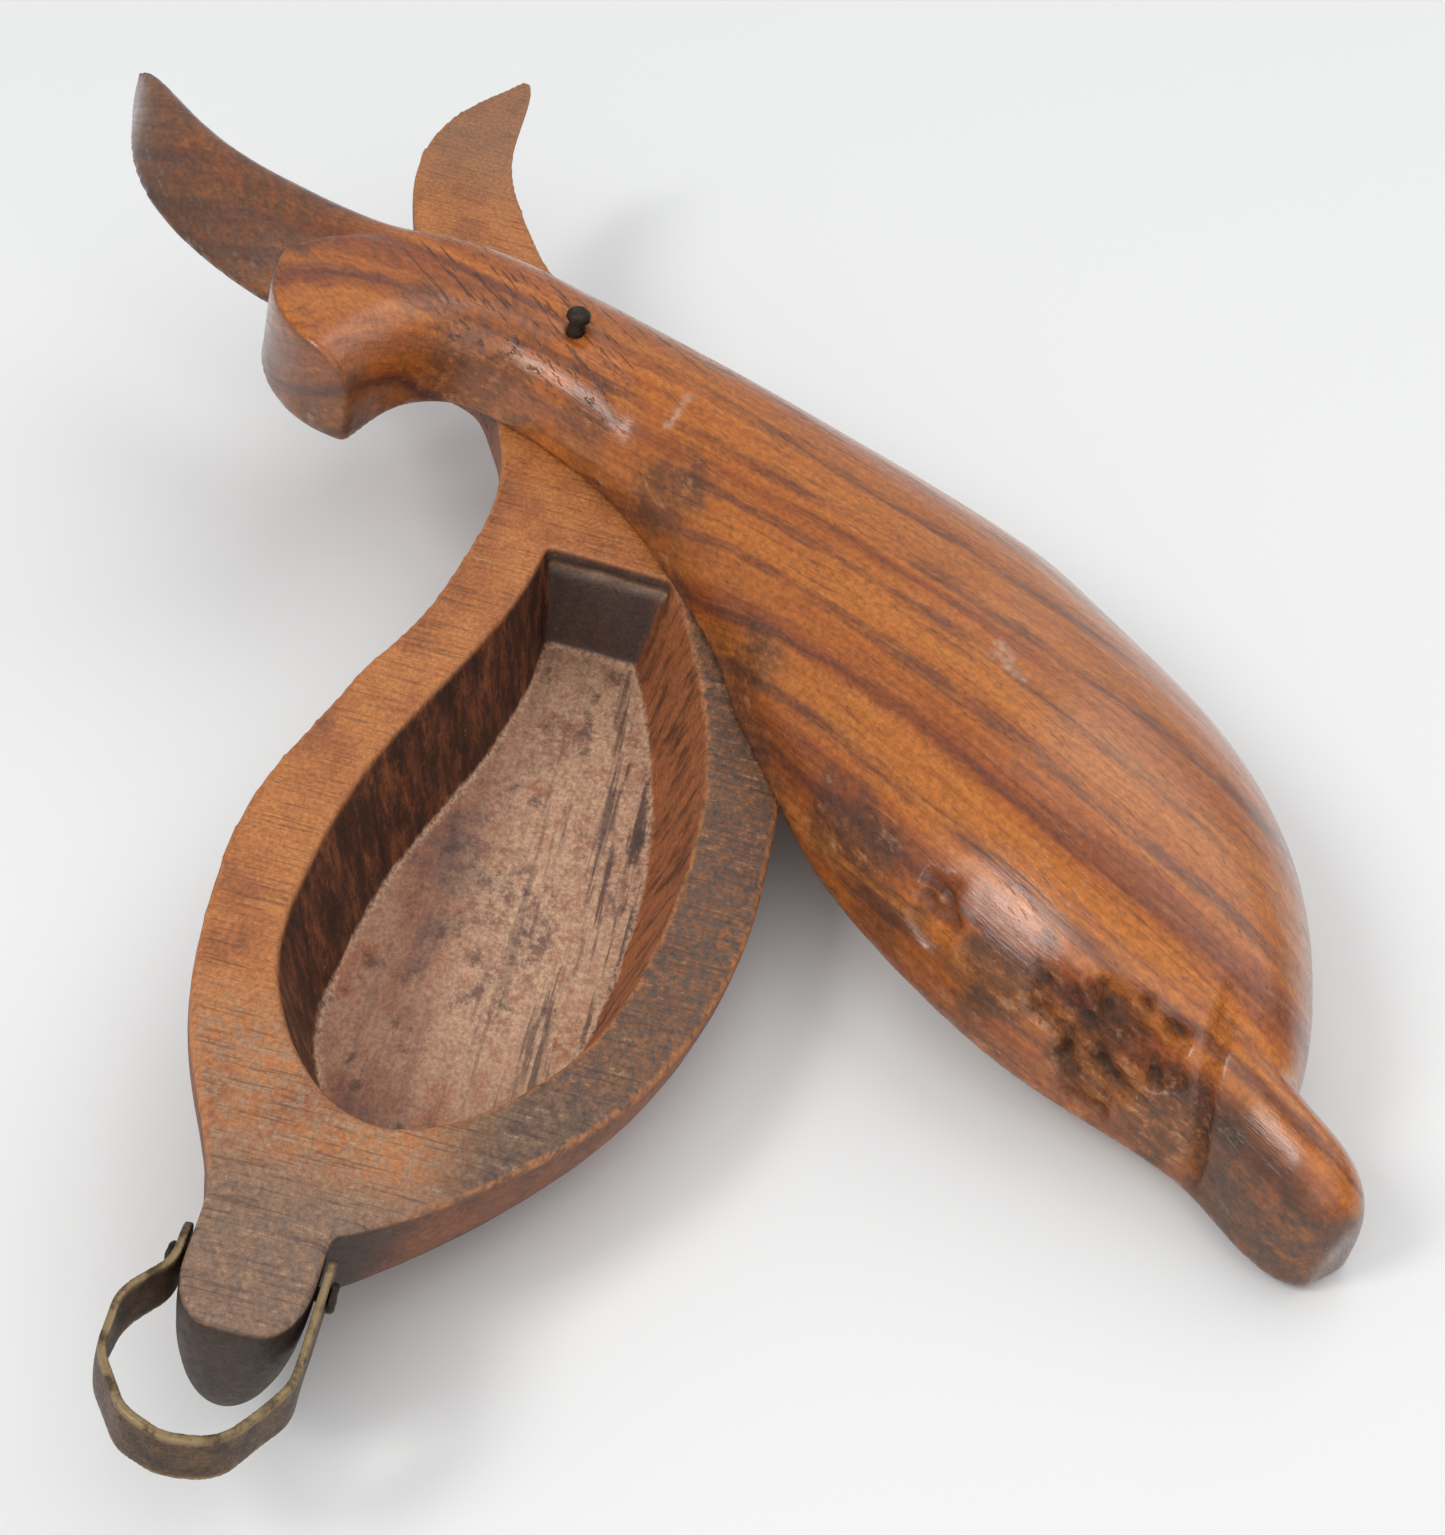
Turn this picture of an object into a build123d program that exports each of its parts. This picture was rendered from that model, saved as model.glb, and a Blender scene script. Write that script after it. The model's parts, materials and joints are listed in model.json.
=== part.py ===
from build123d import *
from math import atan2, degrees, radians, tan
import os

# A carved wooden box in two halves that share one outline and swing on a nail: a bowl below and a domed lid above.
# A bent metal strap swings on two tacks at the bowl's nose and flips up over both noses to hold the box shut.
# Each half is drawn with the nail on the Z axis, the nose towards -Y, the horn towards +Y and the bowl's rim on z = 0.
# At the end the lid is swung open and the whole leans over until the lid's nose touches the table.

# Body in plan
body_front = 137.0  # nail to the shoulder where the nose starts
body_back = 82.0  # nail to the tip of the horn
belly_left = 17.9  # nail to the widest place on the left
belly_right = 39.0  # nail to the widest place on the right
horn_left = 31.0  # nail to the widest place of the horn on the left
horn_right = 20.3  # nail to the inner edge of the horn's tip

# Heights of the two halves
lid_rise = 22.5  # crown of the lid above its rim
hull_depth = 20.0  # belly of the bowl below its rim
joint_gap = 0.1  # between the rims

# Nose
hull_nose_reach = 150.0  # nail to the end of the bowl's nose
nose_width = 12.5  # of both noses
nose_shift = 0.8  # both noses sit this far to the left
hull_nose_depth = 18.3
lid_nose_reach = 151.5  # nail to the end of the lid's nose
lid_nose_rise = 14.6

# Hooked lobe beside the nail
hook_reach = 30.7  # nail to the hook's point, across
hook_back = 2.4  # nail to the hook's point, along
lobe_reach = 34.6  # nail to the lobe's outermost place, across
lobe_middle = 11.0  # nail to that place, along
crotch_reach = 27.0  # nail to the crotch between lobe and horn, across
crotch_back = 28.0  # nail to that crotch, along
throat_back = 6.8  # nail to the top of the throat under the hook
throat_run = 17.0  # nail to where the throat dies out in the neck's flank, along
throat_round = 7.0  # upper edge along the throat
lobe_round = 1.0  # upper edge along the rest of the lobe
lid_lobe_rise = 12.6
hull_lobe_depth = 11.0

# Hollow of the bowl
rim_width = 8.6
tray_depth = 14.5
tray_lean = 19.0  # slope of the hollow's left and front walls, in degrees off upright
tray_lean_right = 14.0  # slope of its right wall
tray_lean_back = 3.0  # slope of its square end
tray_back = 28.0  # nail to the square end of the hollow
tray_front = 123.0  # nail to the round end of the hollow
sole_cut = 0.6  # flat sole cut into the belly
rest_cut = 0.4  # worn flat on the belly, where the open box leans

# Nail
nail_diameter = 2.2
nail_play = 0.06  # radial, in the lid
nail_head_diameter = 3.2
nail_head_height = 1.4
nail_proud = 1.6  # shank left bare above the lid
clench_length = 5.0  # tip bent over below
pocket_diameter = 13.0
pocket_depth = 3.2

# Strap and its tacks
strap_width = 6.4
strap_thickness = 0.8
strap_reach = 19.5  # tack line to the inside of the loop's end
strap_bulge = 3.6  # how far the loop is pushed out on its left
strap_tail = 3.2  # end of each leg behind the tack line
strap_gap = 0.3  # beside the nose
tack_diameter = 1.4
tack_play = 0.05  # radial, in the strap
tack_length = 3.6  # in the wood
tack_head_diameter = 3.0
tack_head_height = 0.8
tack_slack = 0.1  # under the head
tack_inset = 8.5  # tack line back from the nose's end
tack_drop = 3.6  # tack line below the rim

# Pose on the table
open_angle = 43.0  # lid from the bowl, in degrees
strap_hang = 2.0  # strap below the rim's plane, in degrees

# Stations along the body: along, left, right, lid and hull, each as a share of its own size above
body_stations = [
    (1.000, 0.36, 0.14, 0.60, 0.70),
    (0.956, 0.49, 0.36, 0.76, 0.78),
    (0.883, 0.73, 0.61, 0.90, 0.89),
    (0.796, 0.92, 0.81, 0.98, 0.97),
    (0.701, 1.00, 0.93, 1.00, 1.00),
    (0.599, 0.97, 0.99, 0.94, 1.00),
    (0.504, 0.79, 1.00, 0.88, 1.00),
    (0.394, 0.54, 0.965, 0.81, 1.00),
    (0.299, 0.34, 0.865, 0.74, 1.00),
    (0.194, 0.23, 0.725, 0.68, 0.98),
    (0.095, 0.27, 0.58, 0.64, 0.88),
    (0.000, 0.49, 0.444, 0.61, 0.76),
]
# Stations of the tail: along, left, right as shares of the horn's sizes, lid and hull as above, and the lid's slant
tail_stations = [
    (0.146, 0.42, -0.557, 0.60, 0.67, 0.05),
    (0.268, 0.61, -0.246, 0.58, 0.60, 0.15),
    (0.366, 0.82, 0.25, 0.53, 0.53, 0.3),
    (0.488, 0.94, 0.57, 0.48, 0.46, 0.45),
    (0.634, 1.00, 0.82, 0.43, 0.39, 0.5),
    (0.768, 0.97, 0.93, 0.39, 0.32, 0.5),
    (0.878, 0.87, 0.95, 0.35, 0.25, 0.45),
    (0.951, 0.77, 0.966, 0.30, 0.18, 0.4),
    (1.000, 0.70, 1.000, 0.23, 0.10, 0.3),
]
# Stations of the nose: along from the shoulder to the end, half width and height, each as a share of its own size
nose_stations = [
    (-0.85, 0.96, 0.62),
    (0.08, 1.00, 1.00),
    (0.46, 1.00, 0.98),
    (0.73, 0.92, 0.91),
    (0.91, 0.72, 0.76),
    (1.00, 0.36, 0.48),
]

# Every station as along, left edge, right edge, lid's rise, hull's depth and lid's slant
stations = []
for along, left, right, lid, hull in body_stations:
    edges = (-belly_left * left, belly_right * right)
    stations.append((-body_front * along, *edges, lid_rise * lid, hull_depth * hull, 0.0))
for along, left, right, lid, hull, slant in tail_stations:
    edges = (-horn_left * left, -horn_right * right)
    stations.append((body_back * along, *edges, lid_rise * lid, hull_depth * hull, slant))


def arch_point(left, right, rise, t):
    # A point of the arch over a station, from its left edge at t = 0 to its right edge at t = 1
    return left + (right - left) * (3 * t**2 - 2 * t**3), 4 * rise * t * (1 - t)


def arch_height(left, right, rise, x):
    # Height of the arch above a place between its edges
    low, high = 0.0, 1.0
    for step in range(40):
        t = (low + high) / 2
        if arch_point(left, right, rise, t)[0] < x:
            low = t
        else:
            high = t
    return arch_point(left, right, rise, t)[1]


def arch_face(y, left, right, rise, slant=0.0):
    # The arch as a cubic curve closed along the rim, standing across the body; a negative rise hangs down
    # A slant leans the left flank back and moves the ridge to the right
    top = rise * 4 / 3
    flank = left + slant * (right - left)
    curve = Bezier((left, y, 0), (flank, y, top), (right, y, top), (right, y, 0))
    return make_face([curve, Line((right, y, 0), (left, y, 0))])


def make_body(up):
    faces = []
    for y, left, right, lid, hull, slant in stations:
        if up:
            faces.append(arch_face(y, left, right, lid, slant))
        else:
            faces.append(arch_face(y, left, right, -hull))
    return loft(faces)


def make_nose(reach, rise):
    # The finger grip at the end, like the tip of a thumb
    faces = []
    for along, half, share in nose_stations:
        y = -body_front - (reach - body_front) * along
        reach_aside = nose_width / 2 * half
        faces.append(arch_face(y, -nose_shift - reach_aside, -nose_shift + reach_aside, rise * share))
    return loft(faces)


def make_lobe(rise):
    # The hooked lobe left of the nail: drawn in plan, raised, well rounded over the throat and crisp elsewhere
    point = (-hook_reach, hook_back)
    outer = (-lobe_reach, lobe_middle)
    crotch = (-crotch_reach, crotch_back)
    start = (-belly_left * 0.17, -throat_run)
    throat = Spline(start, (-belly_left * 0.29, -throat_run * 0.56), (-belly_left * 0.46, -throat_run * 0.13),
                    (-hook_reach * 0.42, throat_back * 0.75), (-hook_reach * 0.65, throat_back),
                    (-hook_reach * 0.9, (throat_back + 2 * hook_back) / 3), point)
    chin = ThreePointArc(point, (-(hook_reach + lobe_reach) / 2 - 0.9, (hook_back + lobe_middle) / 2), outer)
    crown = Spline(outer, (-lobe_reach * 0.965, (lobe_middle + crotch_back) / 2), crotch)
    # The rest of the outline lies inside the neck
    spine = Polyline(crotch, (-crotch_reach * 0.6, crotch_back * 1.02), (-crotch_reach * 0.2, lobe_middle * 1.6),
                     (crotch_reach * 0.12, 0), start)
    block = extrude(make_face([throat, chin, crown, spine]), rise)
    curves = block.faces().sort_by(Axis.Z)[-1].edges().filter_by(lambda edge: edge.geom_type != GeomType.LINE)
    block = fillet(max(curves, key=lambda edge: edge.length), throat_round)
    brow = [edge for edge in block.faces().sort_by(Axis.Z)[-1].edges() if edge.center().X < -crotch_reach]
    return fillet(brow, lobe_round)


def plan_edges(y):
    # Left and right edge of the body at a place along it
    for near, far in zip(stations, stations[1:]):
        if near[0] <= y <= far[0]:
            share = (y - near[0]) / (far[0] - near[0])
            return near[1] + share * (far[1] - near[1]), near[2] + share * (far[2] - near[2])


def tray_outline(depth):
    # The hollow in plan at a depth: a rim's width inside the body, round at the front and square at the back
    inset_left = depth * tan(radians(tray_lean))
    inset_right = depth * tan(radians(tray_lean_right))
    front = -tray_front + inset_left
    back = -tray_back - depth * tan(radians(tray_lean_back))
    lefts, rights = [], []
    for share in (0.0, 0.14, 0.32, 0.5, 0.68, 0.84):
        # The side walls stand steeper towards the square end
        slope = min(1.0, 0.5 + 1.6 * share)
        y = back + (front - back) * share
        left, right = plan_edges(y)
        lefts.append((left + rim_width + inset_left * slope, y, -depth))
        rights.append((right - rim_width - inset_right * slope, y, -depth))
    left, right = plan_edges(front)
    tip = ((left + right) / 2, front, -depth)
    side = Spline(*lefts, tip, *reversed(rights))
    return make_face([side, Line(rights[0], lefts[0])])


# Lid, with its rim on z = joint_gap
lid_station = stations[11]
lid_top = joint_gap + arch_height(lid_station[1], lid_station[2], lid_station[3], 0.0)
lid = make_body(True) + make_lobe(lid_lobe_rise) + make_nose(lid_nose_reach, lid_nose_rise)
lid = Pos(0, 0, joint_gap) * lid
lid = lid - Cylinder(nail_diameter / 2 + nail_play, 4 * lid_rise)

# Bowl
hull_bottom = arch_height(lid_station[1], lid_station[2], lid_station[4], 0.0)
bowl = make_body(False)
bowl = bowl + mirror(make_lobe(hull_lobe_depth), Plane.XY)
bowl = bowl + make_nose(hull_nose_reach, -hull_nose_depth)
tray = loft([tray_outline(0.0), tray_outline(tray_depth)], ruled=True)
bowl = bowl - tray
bowl = bowl - Cylinder(nail_diameter / 2, 4 * hull_depth)
pocket_top = -hull_bottom + pocket_depth
bowl = bowl - Pos(0, 0, pocket_top - hull_depth) * Cylinder(pocket_diameter / 2, 2 * hull_depth)
sole = -hull_depth + sole_cut
bowl = bowl - Pos(0, -body_front / 2, sole - hull_depth) * Box(4 * body_front, 4 * body_front, 2 * hull_depth)

# Nail: head above the lid, shank through both halves, tip bent over in the pocket below
head_bottom = lid_top + nail_proud
shank_bottom = pocket_top - nail_diameter / 2
nail = Pos(0, 0, (head_bottom + shank_bottom) / 2) * Cylinder(nail_diameter / 2, head_bottom - shank_bottom)
head = Pos(0, 0, head_bottom + nail_head_height / 2) * Cylinder(nail_head_diameter / 2, nail_head_height)
head = fillet(head.edges().sort_by(Axis.Z)[-1], nail_head_height * 0.6)
elbow = Pos(0, 0, shank_bottom) * Sphere(nail_diameter / 2)
tip = Pos(0, -clench_length / 2, shank_bottom) * Rot(90, 0, 0) * Cylinder(nail_diameter / 2, clench_length)
nail = nail + head + elbow + tip

# Strap, drawn flat about the middle of the nose, with the tack line on X and the loop's end towards -Y
leg = nose_width / 2 + strap_gap
above = strap_tail + 2 * strap_thickness
path = FilletPolyline(
    (-leg, above),
    (-leg, -strap_reach * 0.12),
    (-leg - strap_bulge, -strap_reach * 0.36),
    (-leg - strap_bulge, -strap_reach * 0.66),
    (-leg, -strap_reach * 0.92),
    (-leg * 0.4, -strap_reach),
    (leg * 0.3, -strap_reach * 0.97),
    (leg, -strap_reach * 0.6),
    (leg, above),
    radius=strap_bulge * 1.3,
)
inside = make_face([path, Line((leg, above), (-leg, above))])
band = offset(inside, strap_thickness) - inside
band = band - Pos(0, strap_tail + strap_reach) * Rectangle(6 * leg, 2 * strap_reach)
strap = extrude(band, strap_width / 2, both=True)
ends = strap.edges().filter_by(Axis.X).group_by(Axis.Y)[-1]
strap = fillet(ends, strap_width * 0.4)
strap = strap - Rot(0, 90, 0) * Cylinder(tack_diameter / 2 + tack_play, 4 * leg)
tack_line = Pos(-nose_shift, -hull_nose_reach + tack_inset, -tack_drop)
strap = tack_line * Rot(strap_hang, 0, 0) * strap

# Tacks: one from each side through the strap into the nose
shank_end = nose_width / 2 - tack_length
head_start = leg + strap_thickness + tack_slack
shank = Pos((shank_end + head_start) / 2, 0, 0) * Rot(0, 90, 0) * Cylinder(tack_diameter / 2, head_start - shank_end)
cap = Pos(head_start + tack_head_height / 2, 0, 0) * Rot(0, 90, 0) * Cylinder(tack_head_diameter / 2, tack_head_height)
cap = fillet(cap.edges().sort_by(Axis.X)[-1], tack_head_height * 0.6)
tack = shank + cap
tack_right = tack_line * tack
tack_left = tack_line * mirror(tack, Plane.YZ)
bore = Pos(nose_width / 2, 0, 0) * Rot(0, 90, 0) * Cylinder(tack_diameter / 2, 2 * tack_length)
bowl = bowl - tack_line * bore - tack_line * mirror(bore, Plane.YZ)

# Open the lid, then lean the whole until the lid's nose and the belly touch the table
lid = Rot(0, 0, open_angle) * lid
lid_edge = lid.bounding_box().max.X
belly = max(stations, key=lambda station: station[4])
lean = 0.0
for step in range(201):
    x, depth = arch_point(belly[1], belly[2], belly[4] - rest_cut, step / 200)
    lean = max(lean, atan2(depth + joint_gap, lid_edge - x))
lean = degrees(lean)
nodes = {
    "bowl": bowl,
    "lid": lid,
    "pivot_nail": nail,
    "strap": strap,
    "tack_left": tack_left,
    "tack_right": tack_right,
}
for name in nodes:
    nodes[name] = Rot(0, lean, 0) * nodes[name]
table = nodes["lid"].bounding_box().min.Z
under = Pos(0, 0, table - hull_depth) * Box(8 * body_front, 8 * body_front, 2 * hull_depth)
nodes["bowl"] = nodes["bowl"] - under

# Origin under the middle of the open box, on the table
whole = Compound(children=[Compound(node.wrapped) for node in nodes.values()]).bounding_box()
shift = Pos(-whole.center().X, -whole.center().Y, -table)
place = shift * Rot(0, lean, 0)

os.makedirs("parts", exist_ok=True)
for name, node in nodes.items():
    export_step(shift * node, f"parts/{name}.step")
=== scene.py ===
import json
import math

import bpy
import numpy as np
from mathutils import Matrix, Vector, noise


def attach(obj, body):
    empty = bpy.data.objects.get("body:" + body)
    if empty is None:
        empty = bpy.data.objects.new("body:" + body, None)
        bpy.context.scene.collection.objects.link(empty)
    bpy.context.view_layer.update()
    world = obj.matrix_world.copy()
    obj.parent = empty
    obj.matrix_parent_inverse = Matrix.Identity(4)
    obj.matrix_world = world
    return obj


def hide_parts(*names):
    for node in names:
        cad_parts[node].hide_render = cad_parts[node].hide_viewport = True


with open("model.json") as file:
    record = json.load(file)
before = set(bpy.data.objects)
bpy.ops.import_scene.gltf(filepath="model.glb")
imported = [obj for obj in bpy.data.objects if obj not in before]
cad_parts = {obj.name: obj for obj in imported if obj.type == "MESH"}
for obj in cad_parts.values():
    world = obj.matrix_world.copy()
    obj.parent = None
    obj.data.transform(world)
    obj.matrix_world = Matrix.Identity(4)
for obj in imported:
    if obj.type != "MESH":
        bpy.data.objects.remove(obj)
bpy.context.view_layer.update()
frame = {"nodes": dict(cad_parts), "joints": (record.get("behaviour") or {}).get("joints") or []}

mm = 0.001
mergeReach = 0.002

# Each half has its own frame: the nail on Z, the nose towards -Y and the bowl's rim on z = 0
hinges = {joint["name"]: joint for joint in frame["joints"]}
nailHinge = hinges["lid_swing"]
pivot = Vector(nailHinge["pos_m"])
leanAngle = math.atan2(nailHinge["axis"][0], nailHinge["axis"][2])
openAngle = -math.radians(nailHinge["range_deg"][0])
bowlPlace = Matrix.Translation(pivot) @ Matrix.Rotation(leanAngle, 4, "Y")
lidPlace = bowlPlace @ Matrix.Rotation(openAngle, 4, "Z")


def pickOnly(piece):
    bpy.ops.object.select_all(action="DESELECT")
    piece.select_set(True)
    bpy.context.view_layer.objects.active = piece


def applyAll(piece):
    pickOnly(piece)
    for modifier in list(piece.modifiers):
        bpy.ops.object.modifier_apply(modifier=modifier.name)


def copyNode(node, name, place):
    # A merged copy of a solid, brought into its half's own frame
    piece = bpy.data.objects.new(name, frame["nodes"][node].data.copy())
    bpy.context.scene.collection.objects.link(piece)
    piece.data.materials.clear()
    piece.data.transform(place.inverted())
    pickOnly(piece)
    bpy.ops.object.mode_set(mode="EDIT")
    bpy.ops.mesh.select_all(action="SELECT")
    bpy.ops.mesh.remove_doubles(threshold=mergeReach * mm)
    bpy.ops.object.mode_set(mode="OBJECT")
    return piece


def evenSkin(node, name, place, look):
    # A fine even mesh over a solid, drawn back onto its faces and softened
    guide = copyNode(node, name + "Guide", place)
    piece = copyNode(node, name, place)
    remesh = piece.modifiers.new("remesh", "REMESH")
    remesh.mode = "VOXEL"
    remesh.voxel_size = look["voxel"] * mm
    drawBack = piece.modifiers.new("drawBack", "SHRINKWRAP")
    drawBack.target = guide
    soften = piece.modifiers.new("soften", "SMOOTH")
    soften.iterations = look["soften"]
    applyAll(piece)
    bpy.data.objects.remove(guide)
    return piece


def readPoints(piece):
    flat = np.empty(len(piece.data.vertices) * 3)
    piece.data.vertices.foreach_get("co", flat)
    return flat.reshape(-1, 3) / mm


def readNormals(piece):
    flat = np.empty(len(piece.data.vertices) * 3)
    piece.data.vertices.foreach_get("normal", flat)
    return flat.reshape(-1, 3)


def writePoints(piece, points):
    piece.data.vertices.foreach_set("co", (points * mm).ravel())
    piece.data.update()


def fade(low, high, value):
    # 0 below low, 1 above high, smooth between
    share = np.clip((value - low) / (high - low), 0.0, 1.0)
    return share * share * (3.0 - 2.0 * share)


def waves(points, size, seed):
    # Smooth noise between about -1 and 1, one value a point; size is in mm for each axis
    scaled = points / np.array(size) + seed
    return np.array([noise.noise(Vector(place)) for place in scaled])


def swell(points, form):
    # Noise of a stated size, seed and height
    size, seed, height = form
    return waves(points, size, seed) * height


def heights(points, place):
    # Height over the table in mm of points given in an own frame
    return points @ np.array(place)[2, :3] + place[2][3] / mm


def paint(piece, name, values):
    attribute = piece.data.attributes.new(name, "FLOAT", "POINT")
    attribute.data.foreach_set("value", np.clip(values, 0.0, 1.0).astype(np.float32))


def finishPiece(piece, place, body, node):
    piece.data.transform(place)
    pickOnly(piece)
    bpy.ops.object.shade_smooth()
    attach(piece, body)
    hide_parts(node)


spotLook = dict(
    coarse=((3, 5, 3), 12.4, 0.5),
    fine=((1.2, 2, 1.2), 6.6, 0.25),
    core=0.45,
    rim=1.1,
)


def nearSpots(points, spots, core=spotLook["core"]):
    # How much of each point lies in the spots (place in mm, radius, strength); core is the full part
    share = np.zeros(len(points))
    ragged = swell(points, spotLook["coarse"]) + swell(points, spotLook["fine"])
    for place, radius, strength in spots:
        distance = np.linalg.norm(points - np.array(place), axis=1) / radius
        share = np.maximum(share, strength * (1.0 - fade(core, spotLook["rim"], distance + ragged)))
    return share


def nearLines(points, lines, width, core):
    # How much of each point lies on the short straight lines
    share = np.zeros(len(points))
    for start, end in lines:
        start = np.array(start)
        run = np.array(end) - start
        along = np.clip((points - start) @ run / (run @ run), 0.0, 1.0)
        distance = np.linalg.norm(points - start - along[:, None] * run, axis=1)
        share = np.maximum(share, 1.0 - fade(core * width, width, distance))
    return share


def roundWhere(piece, weights, rounds, steps=10):
    # Extra smoothing where two carved forms run into each other, its weight in even steps
    group = piece.vertex_groups.new(name="blendForms")
    for level in range(1, steps + 1):
        picked = np.nonzero(np.round(weights * steps) == level)[0]
        group.add([int(index) for index in picked], level / steps, "REPLACE")
    smooth = piece.modifiers.new("blendForms", "SMOOTH")
    smooth.vertex_group = group.name
    smooth.iterations = rounds
    applyAll(piece)
    piece.vertex_groups.clear()


# Lid: lengths in mm in its own frame; most pairs are ranges to fade over, and noise has a size, seed and height
lidLook = dict(
    voxel=0.62,
    soften=3,
    neckRise=(4.0, 7.0),
    neckLeft=(-21.0, -14.0),
    neckRight=(6.0, 14.0),
    neckFront=(-34.0, -20.0),
    neckBack=(24.0, 34.0),
    neckBore=(2.5, 4.0),
    neckRounds=45,
    boreFade=(1.6, 3.2),
    rimFade=(0.0, 3.0),
    tableFade=(0.0, 2.0),
    lump=((18, 34, 18), 3.1, 0.16),
    ripple=((2.4, 18, 2.4), 8.7, 0.05),
    chips=[
        ((-10.2, -121.4, 11.2), 5.8, 1.0),
        ((-8.1, -126.0, 11.6), 4.2, 0.9),
        ((-12.1, -116.0, 11.0), 3.6, 0.6),
        ((-8.9, -120.0, 13.9), 3.4, 0.7),
        ((-11.3, -123.3, 6.5), 4.0, 0.6),
        ((-15.6, -99.5, 9.6), 3.6, 0.5),
    ],
    chipCore=0.8,
    chipDepth=1.9,
    crumbMiddle=0.8,
    crumbCoarse=((1.9, 3.2, 1.9), 4.4, 1.0),
    crumbFine=((1.0, 1.5, 1.0), 2.9, 0.4),
    crumbLimits=(0.1, 1.8),
    # Crumb depth from which painted shade fills the chips' hollows
    cavityShadeFrom=(0.75, 1.25),
    creaseFoot=136.35,
    creaseCurve=0.0275,
    creaseWander=((4, 4, 4), 1.3, 0.4),
    creaseWidth=0.9,
    creaseEnd=(-1.5, 2.5),
    creaseRise=(1.0, 2.5),
    creaseDepth=1.3,
    scratches=[
        ((1.6, -19.8, 12.0), (5.4, -18.0, 14.0)),
        ((6.8, -77.1, 20.4), (6.8, -82.3, 21.1)),
        ((8.6, -75.5, 20.3), (8.2, -78.6, 20.7)),
        ((-15.2, -98.0, 10.4), (-13.6, -103.0, 11.6)),
    ],
    scratchWidth=1.0,
    scratchCore=0.3,
    scratchMiddle=0.25,
    scratchGaps=((1, 1, 1), 3.3, 0.5),
    grimeAndShade=[
        ((-16.5, -83.0, 7.6), 6.5, 0.9),
        ((-16.0, -89.0, 8.4), 5.0, 0.9),
        ((-15.0, -93.0, 5.0), 7.0, 0.7),
        ((-3.0, -27.0, 6.5), 8.0, 0.8),
        ((-10.0, -56.0, 6.5), 7.0, 0.7),
        ((-14.6, -110.0, 8.9), 7.0, 0.9),
        ((-10.5, -122.0, 9.0), 8.5, 0.85),
        ((-7.0, -132.0, 6.0), 8.0, 1.0),
        ((-12.0, 4.0, 6.0), 10.0, 0.7),
        ((-26.0, 28.0, 8.0), 7.0, 0.9),
        ((-4.0, -11.0, 8.0), 6.0, 0.6),
        ((-14.0, 12.0, 8.5), 6.0, 0.6),
    ],
    # Painted shade low along the near side, by the rim
    lowSide=(1.0, 8.0),
    nearSide=(0.0, 10.0),
    nearBulge=(0.12, -70.0),
    patchMiddle=0.6,
    patchCoarse=((5, 9, 5), 2.2, 0.7),
    patchFine=((1.6, 3, 1.6), 7.2, 0.4),
    # Patina on the nose; painted shade on the horn, the lobe's end and the far side
    noseFrom=(-138.0, -132.5),
    noseTopRise=(8.5, 11.5),
    noseTopLeft=(-5.5, -3.0),
    hornFrom=(24.0, 38.0),
    hornShare=0.85,
    browLeft=(-30.0, -24.0),
    browFacing=(0.5, 0.8),
    browShare=0.7,
    farFacing=(0.40, 0.85),
    farFront=(-40.0, -20.0),
    farShare=0.5,
    grainFront=(-22.0, -6.0),
    grainBack=(20.0, 30.0),
    grainLeft=(-18.0, -10.0),
    grainRise=(6.0, 10.0),
)


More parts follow.
